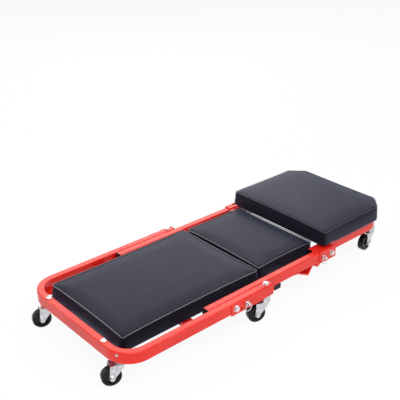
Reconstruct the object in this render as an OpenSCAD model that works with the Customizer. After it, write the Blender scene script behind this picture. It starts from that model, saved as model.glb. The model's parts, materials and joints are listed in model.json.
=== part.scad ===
// Folding creeper stool: three hinged tube frames with pads on six swivel casters.
// It is drawn flat, as a creeper: foot end at -X, seat end at +X, floor at z = 0.

/* [Layout] */
// Half width over the foot frame
half_width = 213; // [205:0.5:225]
// Overall length from foot tube to seat tube
overall_length = 1022; // [1010:1:1040]
// Length of the foot frame
foot_length = 488; // [484:0.5:492]
// How far the foot tube runs on past the fold hinge
hinge_tail = 138; // [128:1:150]
// Seat hinge, measured from the foot end
seat_fold_at = 751; // [748:0.5:754]
// Fold angle from flat to stool, both hinges
fold_angle = 130; // [126:0.5:132]

/* [Tubes] */
// Width of every frame tube
tube_w = 20; // [18:0.5:22]
// Height of every frame tube
tube_h = 32; // [30:0.5:34]
// Wall of the frame tubes
tube_wall = 1.8; // [1.5:0.1:2.5]
// Outer corner radius of the frame tubes
tube_r = 3; // [2:0.5:4]
// Outer radius of the foot tube's bends
bend_r = 70; // [60:1:80]
// Outer radius of the seat tube's bends
seat_bend_r = 54; // [50:1:64]
// Sideways gap between frames that pass each other
lane_gap = 0.5; // [0.4:0.1:0.8]
// Middle tube beyond the foot hinge, towards the foot
middle_tail = 75; // [72:1:80]
// Seat tube beyond the seat hinge, towards the foot
seat_tail = 56; // [54:0.5:60]
// Middle tube beyond the seat hinge
middle_nose = 12; // [8:0.5:12]
// Side of the square crossbars
bar_size = 24; // [22:1:24]
// Wall of the crossbars
bar_wall = 1.6; // [1.2:0.1:2]
// Side of the seat stop bar
stop_size = 12; // [10:0.5:14]
// Gap left at a stop when the stool is folded
stop_gap = 0.3; // [0.2:0.1:0.6]

/* [Pads] */
// Gap between the middle pad and the seat tubes' lane
pad_gap = 2.5; // [2:0.5:6]
// How far the foot pad is wider than the middle pad on each side
foot_pad_wider = 6; // [3:0.5:9]
// Seat pad edge inside the outer face of the middle tubes
seat_pad_in = 6.5; // [5:0.5:10]
// Pad height above the tubes on the foot and middle frames
pad_rise = 16; // [10:0.5:18]
// Thickness of the seat pad
seat_pad_h = 50; // [44:1:54]
// Crown of every pad at its middle
crown = 4; // [2:0.5:6]
// Thickness of the pad boards
board_t = 10; // [8:0.5:12]
// Seat pad corner cut, along the length
cut_x = 45; // [30:1:50]
// Seat pad corner cut, across the width
cut_y = 42; // [30:1:50]

/* [Casters] */
// Wheel diameter
wheel_d = 50.8; // [48:0.2:52]
// Wheel width
wheel_w = 20; // [18:0.5:22]
// Underside of the tubes above the floor
ride = 76; // [76:0.5:80]
// Caster trail
trail = 26; // [24:0.5:28]
// Caster stem radius
stem_r = 4; // [3.5:0.5:5]
// Axle radius
axle_r = 4; // [3.5:0.25:4.5]
// Swivel of the foot and middle casters in the drawn pose
park_swivel = 20; // [0:1:30]
// Swivel of the seat casters in the drawn pose
end_swivel = 5; // [0:1:45]

/* [Hinges and pins] */
// Radius of the hinge bolts
bolt_r = 4; // [3.5:0.25:5]
// Radial running clearance of every turning joint
run_gap = 0.05; // [0.02:0.01:0.1]
// Distance of the flat lock pins from their hinge
lock_reach = 38; // [36:0.5:40]
// Distance of the stool lock holes from their hinge
stool_reach = 22.5; // [21:0.5:24]
// Radius of the lock pins
pin_r = 3.5; // [3:0.25:4]
// Radial clearance of the lock pins
pin_gap = 0.3; // [0.2:0.05:0.4]
// Radius of the wire pull rings
ring_r = 10.5; // [9:0.5:12]
// Radius of the ring wire
wire_r = 1.1; // [0.8:0.1:1.4]

/* [Hidden] */
$fn = 48;
eps = 0.01;
half_h = tube_h / 2;
stem_in = 32;
overhang = (trail + wheel_d / 2 - 0.2) * cos(park_swivel)
           + (wheel_w / 2 - 3.2) * sin(park_swivel) - stem_in;
seat_over = 3;
foot_x = (overhang - overall_length - seat_over) / 2;
seat_x = foot_x + overall_length;
foot_end_x = foot_x + foot_length;
fold_x = foot_end_x - hinge_tail;
seat_fold_x = foot_x + seat_fold_at;
tube_top = ride + tube_h;
axis_z = ride + half_h;
middle_half = half_width - tube_w - lane_gap;
seat_half = middle_half - tube_w - lane_gap;
middle_start = fold_x - middle_tail;
middle_end = seat_fold_x + middle_nose;
seat_start = seat_fold_x - seat_tail;
plate_t = 4;
gusset = [95, 112];
cheek_t = 2.5;
cheek_x = seat_fold_x - 50;
doubler_t = 2;
doubler_x = fold_x - 16;
doubler_lip = 2.5;
pad_floor = ride + 1;
pad_top = tube_top + pad_rise;
seat_pad_floor = tube_top + 5;
pad_half = seat_half - tube_w - pad_gap;
foot_pad_half = pad_half + foot_pad_wider;
seat_pad_half = middle_half - seat_pad_in;
foot_pad_x0 = foot_x + 38;
foot_pad_x1 = foot_end_x + 4;
middle_pad_x0 = foot_pad_x1 + 5;
middle_pad_x1 = seat_fold_x - 30;
seat_pad_x0 = seat_fold_x - 24;
seat_pad_x1 = seat_x + seat_over;
bar_out = half_width - 17;
middle_bar_out = middle_half - 2;
seat_bar_out = seat_half - 17;
flat_bar = [30, 12];
flat_bar_x = middle_start - 53;
foot_tab_y = half_width - 123;
// where a bar of depth d below the tubes just meets the folded tube
function stop_reach(d) = (half_h + stop_gap - (half_h + d) * cos(fold_angle)) / sin(fold_angle);
end_bar_x = fold_x + stop_reach(bar_size);
middle_bar_x = foot_end_x + 30;
stop_x = seat_fold_x - stop_reach(stop_size) - stop_size;
seat_bar_x = (seat_fold_x + seat_x) / 2 - 20.5;
tab_x = [seat_bar_x - 70, seat_bar_x + flat_bar.x + 6];
tab_w = 20;
tab_l = 30;
tab_t = 3;
hat_back = 108;
hat_x = middle_pad_x1 - hat_back;
hat_apex = [46, 26];
hat_w = 62;
lip = 10;
hat_screw_x = hat_x - lip / 2 - 1.2;
sheet = 2.5;
screw_ys = [-90, 90];
square_bar = [bar_size, bar_size];
low_bar = [bar_size, 15];
bisector = 180 - fold_angle;
hole_in = [stool_reach * cos(bisector / 2), -stool_reach * sin(bisector / 2)];
pin_x = fold_x + lock_reach;
seat_pin_x = seat_fold_x - lock_reach + 2;
seat_lock = seat_fold_x - seat_pin_x;
pin_hole = pin_r + pin_gap;
foot_stem = [foot_x + stem_in, half_width - 57];
mid_stem = [foot_end_x - 19, half_width - tube_w / 2];
seat_stem = [seat_x, seat_half] - seat_bend_r * [1, 1]
            + (seat_bend_r - tube_w / 2) * [cos(45), sin(45)];
foot_bolt = [foot_x + tube_w / 2 + 1, foot_stem.y - 36];
bend_screw_a = 28;
crown_z = wheel_d + 9.2;
crown_t = 2.5;
cup_z = crown_z + 5.7;
flange_r = 14;
neck_r = 5;
corner_steps = 6;
leg_in = wheel_w / 2 + 1.2;
leg_t = 2.5;
fork_w = leg_in + leg_t;
outer_y = half_width + doubler_t;
cheek_y = middle_half + cheek_t;
bolt_hex = 7.6;
head_t = 5;
washer_t = 1.5;
red = [0.86, 0.1, 0.07];
black = [0.05, 0.05, 0.06];
vinyl = [0.09, 0.095, 0.11];
zinc = [0.75, 0.76, 0.78];
timber = [0.16, 0.13, 0.1];

foot_frame();
foot_bars();
foot_plugs();
foot_gussets();
foot_doublers();
foot_board();
foot_pad();
foot_pad_screws();
foot_bolts();
bend_screws();
foot_hinge_bolts();
foot_hinge_nuts();
foot_stems();
middle_tubes();
middle_bar();
middle_hat_bar();
middle_stop_bar();
middle_plugs();
middle_channels();
middle_board();
middle_pad();
middle_pad_screws();
seat_hinge_bolts();
seat_hinge_nuts();
seat_frame();
seat_bars();
seat_plugs();
seat_board();
seat_pad();
seat_pad_screws();
seat_stems();
lock_pin_foot_near();
lock_pin_foot_far();
lock_pin_seat_near();
lock_pin_seat_far();
ring_foot_near();
ring_foot_far();
ring_seat_near();
ring_seat_far();
fork_foot_near();
fork_foot_far();
fork_mid_near();
fork_mid_far();
fork_seat_near();
fork_seat_far();
wheel_foot_near();
wheel_foot_far();
wheel_mid_near();
wheel_mid_far();
wheel_seat_near();
wheel_seat_far();
axle_foot_near();
axle_foot_far();
axle_mid_near();
axle_mid_far();
axle_seat_near();
axle_seat_far();

// helpers

module both_sides() {
    children();
    mirror([0, 1, 0]) children();
}

module box(x0, x1, y0, y1, z0, z1) {
    translate([x0, y0, z0]) cube([x1 - x0, y1 - y0, z1 - z0]);
}

// round bar along Y from y0 to y1 at [x, z]
module rod(x, z, r, y0, y1) {
    translate([x, y0, z]) rotate([-90, 0, 0]) cylinder(h = y1 - y0, r = r);
}

// outline that is open at xo and rounded at xr
module tongue(xo, xr, hw, r) {
    s = sign(xr - xo);
    polygon([[xo, -hw], [xr - s * r, -hw], [xr - s * r, hw], [xo, hw]]);
    polygon([[xo, r - hw], [xr, r - hw], [xr, hw - r], [xo, hw - r]]);
    for (t = [-1, 1]) translate([xr - s * r, t * (hw - r)]) circle(r = r, $fn = 96);
}

// hollow section of the frame tube from x on, corners rounded in three flats
module tube_profile(x) difference() {
    polygon([for (c = [[x + tube_w - tube_r, tube_top - tube_r, 0],
                       [x + tube_r, tube_top - tube_r, 90], [x + tube_r, ride + tube_r, 180],
                       [x + tube_w - tube_r, ride + tube_r, 270]])
             for (a = [0:30:90]) [c.x + tube_r * cos(c.z + a), c.y + tube_r * sin(c.z + a)]]);
    translate([x + tube_wall, ride + tube_wall])
        square([tube_w - 2 * tube_wall, tube_h - 2 * tube_wall]);
}

// the same, measured from the centre of a bend of outer radius r
module section(s, r) tube_profile(s > 0 ? r - tube_w : -r);

// straight frame tube along X, inner face at y
module straight_tube(x0, x1, y) translate([x0, 0, 0]) rotate([90, 0, 90])
    linear_extrude(x1 - x0) tube_profile(y);

// U of tube: two legs open at xo, two bends of outer radius r, and a cross leg at xr
module bent_tube(xo, xr, hw, r) {
    s = sign(xr - xo);
    bx = xr - s * r;
    by = hw - r;
    both_sides() {
        translate([bx, by, 0]) rotate([0, 0, s > 0 ? 0 : 90])
            rotate_extrude(angle = 90, $fn = 96) section(1, r);
        translate([min(xo, bx), by, 0]) rotate([90, 0, 90])
            linear_extrude(abs(bx - xo)) section(1, r);
    }
    translate([bx, by, 0]) rotate([90, 0, 0]) linear_extrude(2 * by) section(s, r);
}

// crossbar of section s = [width, depth] under the tubes, with two screw holes
module crossbar(x, half, s) difference() {
    box(x, x + s.x, -half, half, ride - s.y, ride);
    box(x + bar_wall, x + s.x - bar_wall, -half - 1, half + 1,
        ride - s.y + bar_wall, ride - bar_wall);
    for (y = screw_ys) translate([x + s.x / 2, y, ride - s.y - 1])
        cylinder(h = s.y + 2, r = 2.3, $fn = 24);
}

module bar_plug(x, half, s) {
    both_sides() {
        box(x + 0.4, x + s.x - 0.4, half, half + 2, ride - s.y + 0.4, ride - 0.4);
        box(x + bar_wall + 0.2, x + s.x - bar_wall - 0.2, half - 10, half,
            ride - s.y + bar_wall + 0.2, ride - bar_wall - 0.2);
    }
}

// plug in the end of a frame tube: d is the way it faces, t its head, reach its shank
module tube_plug(x, hw, d, t, reach) {
    both_sides() {
        box(min(x, x + d * t), max(x, x + d * t), hw - tube_w + 0.3, hw - 0.3,
            ride + 0.3, tube_top - 0.3);
        box(min(x, x - d * reach), max(x, x - d * reach), hw - tube_w + tube_wall + 0.2,
            hw - tube_wall - 0.2, ride + tube_wall + 0.2, tube_top - tube_wall - 0.2);
    }
}

// arc slot about [px, axis_z], reach out, from angle a0 to a1, over y0 to y1
module arc_slot(px, reach, a0, a1, y0, y1) {
    for (i = [0:6]) {
        a = a0 + (a1 - a0) * i / 6;
        b = a0 + (a1 - a0) * min(i + 1, 6) / 6;
        p = [px + reach * cos(a), axis_z + reach * sin(a)];
        q = [px + reach * cos(b), axis_z + reach * sin(b)];
        rod(p.x, p.y, pin_hole, y0, y1);
        m = (p + q) / 2;
        d = norm(q - p);
        translate([m.x, (y0 + y1) / 2, m.y]) rotate([0, -atan2(q.y - p.y, q.x - p.x), 0])
            cube([d + eps, y1 - y0, 2 * pin_hole], center = true);
    }
}

module hex_head(z0, h, r) {
    translate([0, 0, z0]) cylinder(h = h, r = r, $fn = 6);
}

// hinge bolt along Y: head outside at y0, plain end at y1, on the far side
module hinge_bolt(x, y0, y1) {
    rod(x, axis_z, bolt_r, y1, y0 + eps);
    rod(x, axis_z, 8.8, y0, y0 + washer_t);
    translate([x, y0 + washer_t, axis_z]) rotate([-90, 0, 0])
        cylinder(h = head_t, r = bolt_hex, $fn = 6);
}

module lock_nut(x, y1) {
    difference() {
        union() {
            translate([x, y1 - 6, axis_z]) rotate([-90, 0, 0])
                cylinder(h = 6, r = bolt_hex, $fn = 6);
            rod(x, axis_z, 6.2, y1 - 7.5, y1 - 6 + eps);
        }
        rod(x, axis_z, bolt_r + 0.02, y1 - 9, y1 + 1);
    }
}

// corner k of convex outline p, moved in by d and rounded to r, as points at height z
function round_corner(p, k, d, r, z) = let (
    n = len(p), a = p[k] - p[(k + n - 1) % n], b = p[(k + 1) % n] - p[k],
    u = [a.y, -a.x] / norm(a), v = [b.y, -b.x] / norm(b),
    c = p[k] - (d + r) * (u + v) / (1 + u * v),
    s0 = atan2(u.y, u.x), turn = (atan2(v.y, v.x) - s0 + 360) % 360)
    [for (i = [0:corner_steps]) let (t = s0 + turn * i / corner_steps)
        [c.x + r * cos(t), c.y + r * sin(t), z]];

function ring(p, d, r, z) =
    [for (k = [0:len(p) - 1]) each round_corner(p, k, d, r, z)];

// cushion: drawn in at the board, upright sides, seam edge, then a crown;
// reach is half its shorter side
module cushion(p, z0, z1, r, reach) {
    edge = z1 - crown;
    rings = [ring(p, 5, r, z0), ring(p, 2.2, r, z0 + 2), ring(p, 0.6, r, z0 + 6),
             ring(p, 0, r, z0 + 12), ring(p, 0, r, edge - 7), ring(p, 0.5, r, edge - 3),
             ring(p, 1.6, r, edge - 1), ring(p, 3.2, r, edge),
             for (t = [0.12, 0.28, 0.48, 0.72])
                 ring(p, reach * t, r + reach * t * 0.3, z1 - crown * pow(0.92 * (1 - t), 2))];
    n = len(rings[0]);
    m = len(rings);
    polyhedron(points = [for (q = rings) each q],
        faces = [[for (i = [0:n - 1]) i], [for (i = [n - 1:-1:0]) (m - 1) * n + i],
            for (l = [0:m - 2]) for (i = [0:n - 1]) let (h = (i + 1) % n)
                each [[l * n + i, (l + 1) * n + i, (l + 1) * n + h],
                      [l * n + i, (l + 1) * n + h, l * n + h]]]);
}

// rectangular pad from x0 to x1 with the pocket for its board
module pad_box(x0, x1, hw) translate([(x0 + x1) / 2, 0, 0]) {
    l = (x1 - x0) / 2;
    difference() {
        cushion([[-l, -hw], [l, -hw], [l, hw], [-l, hw]], pad_floor, pad_top, 8, min(l, hw));
        box(9.7 - l, l - 9.7, 9.7 - hw, hw - 9.7, pad_floor - 1, ride + board_t + 0.1);
    }
}

module board_box(x0, x1, hw, z0, screws) {
    difference() {
        box(x0 + 10, x1 - 10, -hw + 10, hw - 10, z0, z0 + board_t);
        for (p = screws) translate([p.x, p.y, z0 - 1]) cylinder(h = 8.5, r = 2.05, $fn = 24);
    }
}

module pan_screw(x, y, z0, len) {
    translate([x, y, z0 - 2.6]) cylinder(h = 2.6, r = 5, $fn = 32);
    translate([x, y, z0 - eps]) cylinder(h = len, r = 2, $fn = 24);
}

// foot frame

module foot_frame() color(red) difference() {
    bent_tube(foot_end_x, foot_x, half_width, bend_r);
    both_sides() {
        rod(fold_x, axis_z, bolt_r + 0.2, half_width - tube_w - 1, half_width + 1);
        rod(pin_x, axis_z, pin_hole, half_width - tube_w - 1, half_width + 1);
        rod(fold_x + hole_in.x, axis_z + hole_in.y, pin_hole,
            half_width - tube_w - 1, half_width + 1);
        translate([mid_stem.x, mid_stem.y, ride - 1])
            cylinder(h = tube_h + 2, r = stem_r + 0.1);
        translate([foot_bolt.x, foot_bolt.y, ride - 1]) cylinder(h = tube_h + 2, r = 4.1);
        translate([foot_x + bend_r, half_width - bend_r, tube_top - 8]) rotate([0, 0, 180 - bend_screw_a])
            rotate([0, 90, 0]) translate([0, 0, bend_r - 4]) cylinder(h = 6, r = 2.1, $fn = 24);
    }
}

foot_screws = [for (x = [flat_bar_x + flat_bar.x / 2, end_bar_x + bar_size / 2])
               for (y = screw_ys) [x, y]];

// flat bar and square bar under the pad, and two tabs under its foot end
module foot_bars() color(red) {
    crossbar(flat_bar_x, bar_out, flat_bar);
    crossbar(end_bar_x, bar_out, square_bar);
    both_sides() box(foot_x + 6, foot_pad_x0 + tab_l + 4, foot_tab_y - tab_w / 2,
                     foot_tab_y + tab_w / 2, ride - tab_t, ride);
}

module foot_plugs() color(black) {
    bar_plug(flat_bar_x, bar_out, flat_bar);
    bar_plug(end_bar_x, bar_out, square_bar);
    tube_plug(foot_end_x, half_width, 1, 2, 12);
}

// corner plates welded inside the foot bends, one caster under each
module foot_gussets() color(red) both_sides() difference() {
    translate([0, 0, ride]) linear_extrude(plate_t) intersection() {
        tongue(0, foot_x + tube_w, half_width - tube_w, bend_r - tube_w);
        polygon([[foot_x, half_width - gusset.y], [foot_x + gusset.x, half_width],
                 [foot_x, half_width]]);
    }
    translate([foot_stem.x, foot_stem.y, ride - 1])
        cylinder(h = plate_t + 2, r = stem_r + 0.1);
}

module foot_doublers() color(red) both_sides() difference() {
    union() {
        box(doubler_x, foot_end_x, half_width, outer_y, ride, tube_top - tube_r);
        box(doubler_x, mid_stem.x - flange_r - 2, half_width, outer_y,
            ride - doubler_lip, ride + eps);
    }
    rod(fold_x, axis_z, bolt_r + 0.2, half_width - 1, outer_y + 1);
    rod(pin_x, axis_z, pin_hole, half_width - 1, outer_y + 1);
    rod(fold_x + hole_in.x, axis_z + hole_in.y, pin_hole, half_width - 1, outer_y + 1);
}

module foot_board() color(timber)
    board_box(foot_pad_x0, foot_pad_x1, foot_pad_half, ride, foot_screws);

module foot_pad() color(vinyl) pad_box(foot_pad_x0, foot_pad_x1, foot_pad_half);

module foot_pad_screws() color(zinc) for (y = screw_ys) {
    pan_screw(flat_bar_x + flat_bar.x / 2, y, ride - flat_bar.y, flat_bar.y + 7);
    pan_screw(end_bar_x + bar_size / 2, y, ride - bar_size, bar_size + 7);
}

module foot_bolts() color(zinc) both_sides() translate([foot_bolt.x, foot_bolt.y, 0]) {
    up(tube_top, washer_t, 7.5);
    translate([0, 0, tube_top + washer_t - eps]) rotate_extrude() intersection() {
        translate([0, -4]) circle(r = 8.5, $fn = 64);
        square([7, 8]);
    }
    up(ride - 7.5, tube_h + 8, stem_r);
    hex_head(ride - 6, 6, 7.5);
}

module bend_screws() color(zinc) both_sides()
    translate([foot_x + bend_r, half_width - bend_r, tube_top - 8]) rotate([0, 0, 180 - bend_screw_a])
        rotate([0, 90, 0]) translate([0, 0, bend_r]) {
            cylinder(h = 2, r = 3.6, $fn = 32);
            translate([0, 0, -4]) cylinder(h = 5, r = 2, $fn = 24);
        }

module foot_hinge_bolts() color(zinc) both_sides()
    hinge_bolt(fold_x, outer_y, middle_half - tube_w - 8.5);

module foot_hinge_nuts() color(zinc) both_sides() lock_nut(fold_x, middle_half - tube_w - 0.3);

// disc or shank standing at the origin
module up(z, h, r) {
    translate([0, 0, z]) cylinder(h = h, r = r);
}

// caster stem at p: raceway under the tube, swivel neck and rivet, shank up to zt
module stem(p, zt) translate([p.x, p.y, 0]) {
    rotate_extrude() polygon([[0, cup_z + 0.3], [flange_r, cup_z + 0.3],
        [flange_r, ride - 2], [flange_r - 3, ride], [0, ride]]);
    up(crown_z - crown_t - 1, cup_z - crown_z + crown_t + 1.4, neck_r);
    up(crown_z - crown_t - 3.3, 3, 8);
    up(ride - eps, zt - ride, stem_r);
}

module foot_stems() color(zinc) both_sides() {
    stem(foot_stem, ride + plate_t + 8);
    translate([foot_stem.x, foot_stem.y, 0]) hex_head(ride + plate_t, 6, 7.5);
    stem(mid_stem, tube_top + 2);
    translate([mid_stem.x, mid_stem.y, 0]) {
        up(tube_top, washer_t, 7.8);
        hex_head(tube_top + washer_t - eps, 4.5, 6.6);
    }
}

// middle frame

module middle_tubes() color(red) both_sides() difference() {
    straight_tube(middle_start, middle_end, middle_half - tube_w);
    rod(fold_x, axis_z, bolt_r + run_gap, middle_half - tube_w - 1, middle_half + 1);
    rod(seat_fold_x, axis_z, bolt_r + 0.2, middle_half - tube_w - 1, middle_half + 1);
    arc_slot(fold_x, lock_reach, 0, -36, middle_half - tube_w - 1, middle_half + 1);
    rod(fold_x - hole_in.x, axis_z + hole_in.y, pin_hole,
        middle_half - tube_w - 1, middle_half + 1);
    rod(seat_pin_x, axis_z, pin_hole, middle_half - tube_w - 1, middle_half + 1);
    rod(seat_fold_x - hole_in.x, axis_z + hole_in.y, pin_hole,
        middle_half - tube_w - 1, middle_half + 1);
}

middle_screws = [for (x = [middle_bar_x + low_bar.x / 2, hat_screw_x])
                 for (y = screw_ys) [x, y]];

module middle_bar() color(red) crossbar(middle_bar_x, middle_bar_out, low_bar);

// bent sheet bar with a lip each side, under the middle tubes
module middle_hat_bar() color(red) difference() {
    translate([0, middle_bar_out, 0]) rotate([90, 0, 0]) linear_extrude(2 * middle_bar_out)
        polygon([[hat_x - lip, ride], [hat_x - lip, ride - sheet], [hat_x - 1, ride - sheet],
                 [hat_x + hat_apex.x, ride - hat_apex.y],
                 [hat_x + hat_w + 1, ride - sheet], [hat_x + hat_w + lip, ride - sheet],
                 [hat_x + hat_w + lip, ride], [hat_x + hat_w - 2, ride],
                 [hat_x + hat_apex.x + 0.4, ride - hat_apex.y + 5], [hat_x + 2, ride]]);
    for (y = screw_ys) translate([hat_screw_x, y, ride - sheet - 1])
        cylinder(h = sheet + 2, r = 2.3, $fn = 24);
}

module middle_stop_bar() color(red)
    box(stop_x, stop_x + stop_size, -middle_bar_out, middle_bar_out, ride - stop_size, ride);

module middle_plugs() color(black) {
    bar_plug(middle_bar_x, middle_bar_out, low_bar);
    tube_plug(middle_start, middle_half, -1, 2, 12);
    tube_plug(middle_end, middle_half, 1, 1.5, middle_nose - bolt_r - 1);
}

// channel round the end of each middle tube: outer cheek, top and bottom flanges
module middle_channels() color(red) both_sides() difference() {
    union() {
        translate([0, cheek_y, 0]) rotate([90, 0, 0]) linear_extrude(cheek_t)
            polygon([[cheek_x, ride - cheek_t], [seat_fold_x + 20, ride - cheek_t],
                     [seat_fold_x + 18, tube_top + cheek_t], [cheek_x, tube_top + cheek_t]]);
        box(cheek_x, seat_fold_x - 24, middle_half - tube_w + 2, middle_half + eps,
            tube_top, tube_top + cheek_t);
        box(seat_fold_x - 44, seat_fold_x + 2, middle_half - tube_w + 2, middle_half + eps,
            ride - cheek_t, ride);
    }
    rod(seat_fold_x, axis_z, bolt_r + 0.2, middle_half - 1, cheek_y + 1);
    rod(seat_pin_x, axis_z, pin_hole, middle_half - 1, cheek_y + 1);
    rod(seat_fold_x - hole_in.x, axis_z + hole_in.y, pin_hole, middle_half - 1, cheek_y + 1);
}

module middle_board() color(timber)
    board_box(middle_pad_x0, middle_pad_x1, pad_half, ride, middle_screws);

module middle_pad() color(vinyl) pad_box(middle_pad_x0, middle_pad_x1, pad_half);

module middle_pad_screws() color(zinc) for (y = screw_ys) {
    pan_screw(middle_bar_x + low_bar.x / 2, y, ride - low_bar.y, low_bar.y + 7);
    pan_screw(hat_screw_x, y, ride - sheet, sheet + 7);
}

module seat_hinge_bolts() color(zinc) both_sides()
    hinge_bolt(seat_fold_x, cheek_y, seat_half - tube_w - 8.5);

module seat_hinge_nuts() color(zinc) both_sides()
    lock_nut(seat_fold_x, seat_half - tube_w - 0.3);

// seat frame

module seat_frame() color(red) difference() {
    bent_tube(seat_start, seat_x, seat_half, seat_bend_r);
    both_sides() {
        rod(seat_fold_x, axis_z, bolt_r + run_gap, seat_half - tube_w - 1, seat_half + 1);
        arc_slot(seat_fold_x, seat_lock, 180, 216, seat_half - tube_w - 1, seat_half + 1);
        rod(seat_fold_x + hole_in.x, axis_z + hole_in.y, pin_hole,
            seat_half - tube_w - 1, seat_half + 1);
        translate([seat_stem.x, seat_stem.y, ride - 1])
            cylinder(h = tube_h + 2, r = stem_r + 0.1);
    }
}

seat_screws = [for (x = tab_x) for (s = [-1, 1])
               [x + tab_l / 2, s * (seat_half - tube_w - tab_w / 2)]];

// crossbar, and the four tabs that carry the seat board
module seat_bars() color(red) {
    crossbar(seat_bar_x, seat_bar_out, flat_bar);
    difference() {
        both_sides() for (x = tab_x)
            box(x, x + tab_l, seat_half - tube_w - tab_w, seat_half - tube_w,
                tube_top - tab_t, tube_top);
        for (p = seat_screws) translate([p.x, p.y, tube_top - tab_t - 1])
            cylinder(h = tab_t + 2, r = 2.3, $fn = 24);
    }
}

module seat_plugs() color(black) {
    tube_plug(seat_start, seat_half, -1, 2, 10);
    bar_plug(seat_bar_x, seat_bar_out, flat_bar);
}

// seat pad outline about its own centre, drawn in by g
function seat_outline(g) = let (l = (seat_pad_x1 - seat_pad_x0) / 2, hw = seat_pad_half)
    [[g - l, g - hw], [l - cut_x, g - hw], [l - g, cut_y - hw], [l - g, hw - cut_y],
     [l - cut_x, hw - g], [g - l, hw - g]];
seat_pad_mid = (seat_pad_x0 + seat_pad_x1) / 2;

module seat_board() color(timber) difference() {
    translate([seat_pad_mid, 0, tube_top]) linear_extrude(board_t) polygon(seat_outline(14));
    for (p = seat_screws) translate([p.x, p.y, tube_top - 1])
        cylinder(h = 8.5, r = 2.05, $fn = 24);
}

module seat_pad() color(vinyl) translate([seat_pad_mid, 0, 0]) difference() {
    cushion(seat_outline(0), seat_pad_floor, seat_pad_floor + seat_pad_h, 6,
            (seat_pad_x1 - seat_pad_x0) / 2);
    translate([0, 0, seat_pad_floor - 1])
        linear_extrude(tube_top + board_t - seat_pad_floor + 1.1) polygon(seat_outline(13.7));
}

module seat_pad_screws() color(zinc)
    for (p = seat_screws) pan_screw(p.x, p.y, tube_top - tab_t, tab_t + 7);

module seat_stems() color(zinc) both_sides() stem(seat_stem, tube_top - 4);

// lock pins and pull rings

// head face at y, tip at tip_y, ring hole at hole_y, all on the far side
module lock_pin(x, y, tip_y) color(zinc) difference() {
    union() {
        rod(x, axis_z, pin_r, tip_y, y + 1);
        rod(x, axis_z, 6.5, y + 0.3, y + 2.8);
        rod(x, axis_z, 4.4, y + 2.7, y + 11);
    }
    translate([x - 6, y + 7, axis_z]) rotate([0, 90, 0]) cylinder(h = 12, r = 2.3, $fn = 32);
}

module pull_ring(x, y) color(zinc) translate([x, y + 7, axis_z - ring_r])
    rotate([90, 0, 0]) rotate_extrude($fn = 72) translate([ring_r, 0])
        circle(r = wire_r, $fn = 24);

module lock_pin_foot_far() lock_pin(pin_x, outer_y, middle_half - tube_w + 1);
module lock_pin_foot_near() mirror([0, 1, 0]) lock_pin_foot_far();
module lock_pin_seat_far() lock_pin(seat_pin_x, cheek_y, seat_half - tube_w + 1);
module lock_pin_seat_near() mirror([0, 1, 0]) lock_pin_seat_far();
module ring_foot_far() pull_ring(pin_x, outer_y);
module ring_foot_near() mirror([0, 1, 0]) ring_foot_far();
module ring_seat_far() pull_ring(seat_pin_x, cheek_y);
module ring_seat_near() mirror([0, 1, 0]) ring_seat_far();

// casters

// places a caster part: stem axis at p, trail swung by a, axle at the origin
module at_axle(p, a) translate([p.x, p.y, 0]) rotate([0, 0, a])
    translate([-trail, 0, wheel_d / 2]) rotate([90, 0, 0]) children();

// fork with its stem axis at p and its axle trailing towards -X, swung by a
module fork(p, a) color(zinc) translate([p.x, p.y, 0]) rotate([0, 0, a]) difference() {
    union() {
        translate([0, 0, crown_z - crown_t]) linear_extrude(crown_t) {
            circle(r = fork_w);
            polygon([[-trail - 4, -fork_w], [0, -fork_w], [0, fork_w], [-trail - 4, fork_w]]);
        }
        up(crown_z - eps, cup_z - crown_z, flange_r - 1.5);
        for (s = [-1, 1]) translate([0, s * (leg_in + leg_t / 2) + leg_t / 2, 0])
            rotate([90, 0, 0]) linear_extrude(leg_t) {
                polygon([[-trail - 4, crown_z], [5, crown_z], [5, crown_z - 6],
                         [-trail + 6.4, wheel_d / 2 - 2.8], [-trail - 7, wheel_d / 2]]);
                translate([-trail, wheel_d / 2]) circle(r = 7);
            }
    }
    up(crown_z - crown_t - 1, 12, neck_r + run_gap);
    rod(-trail, wheel_d / 2, axle_r + 0.1, -fork_w - 1, fork_w + 1);
}

module axle(p, a) color(zinc) at_axle(p, a) {
    up(-fork_w - 5.5, 2 * fork_w + 5.6, axle_r);
    hex_head(fork_w, 4, 6.6);
    hex_head(-fork_w - 4.5, 4.5, 6.6);
}

// tyre with rounded shoulders, dished sides and a hub
module wheel(p, a) color(black) at_axle(p, a) rotate_extrude($fn = 96) {
    r = wheel_d / 2;
    w = wheel_w / 2;
    bore = axle_r + run_gap;
    polygon([[bore, -w - 0.9], [8, -w - 0.9], [8, -w + 2.5], [15.5, -w + 3.5],
             [17.5, -w + 0.4], [r - 3.2, -w], [r - 1.1, -w + 1], [r - 0.2, -w + 3.2],
             [r, 0], [r - 0.2, w - 3.2], [r - 1.1, w - 1], [r - 3.2, w],
             [17.5, w - 0.4], [15.5, w - 3.5], [8, w - 2.5], [8, w + 0.9],
             [bore, w + 0.9]]);
}

function near(p) = [p.x, -p.y];

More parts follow.
